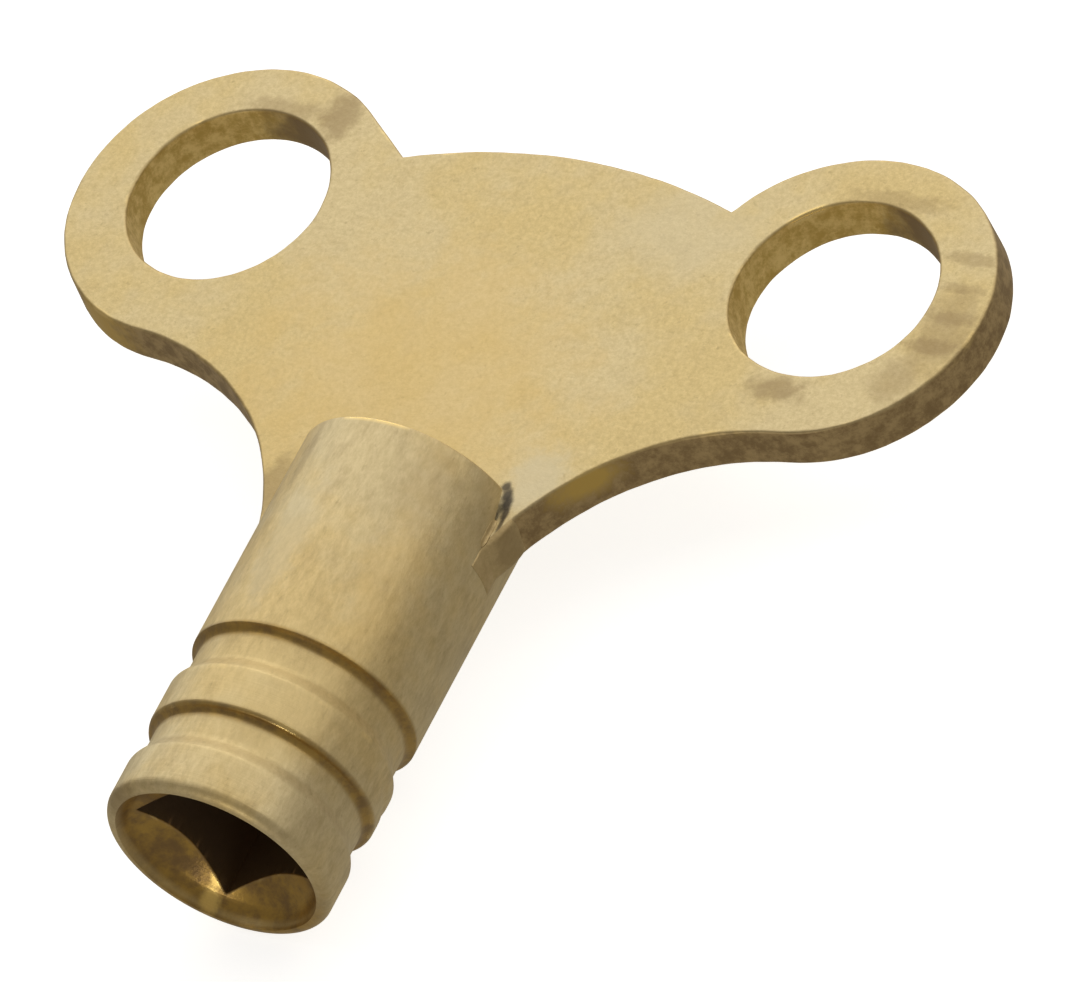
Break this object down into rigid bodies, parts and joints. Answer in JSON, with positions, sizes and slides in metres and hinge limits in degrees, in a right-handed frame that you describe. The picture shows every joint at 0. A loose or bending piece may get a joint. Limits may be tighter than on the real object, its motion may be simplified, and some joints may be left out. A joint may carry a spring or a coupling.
{
  "type": "radiator bleed key",
  "caption": "Brass bleed key: a flat wing handle with ring grips, slotted and brazed into a round grooved stem with a square socket in its end.",
  "frame": {"origin": "centre of the socket mouth, on the stem axis", "axes": "+Y along the stem from the socket mouth to the handle, +X across the two ring grips, +Z normal to the flat handle, up when the key lies on a table"},
  "size_m": [0.0403, 0.0355, 0.0092],
  "materials": {
    "plate_brass": "tumbled satin",
    "stem_brass": "turned and tumbled satin",
    "braze_filler": "dull"
  },
  "bodies": {
    "root": {"wing_plate": "plate_brass", "socket_stem": "stem_brass", "braze_left_front": "braze_filler", "braze_right_front": "braze_filler", "braze_left_back": "braze_filler", "braze_right_back": "braze_filler", "braze_right_side": "braze_filler"}
  },
  "joints": []
}
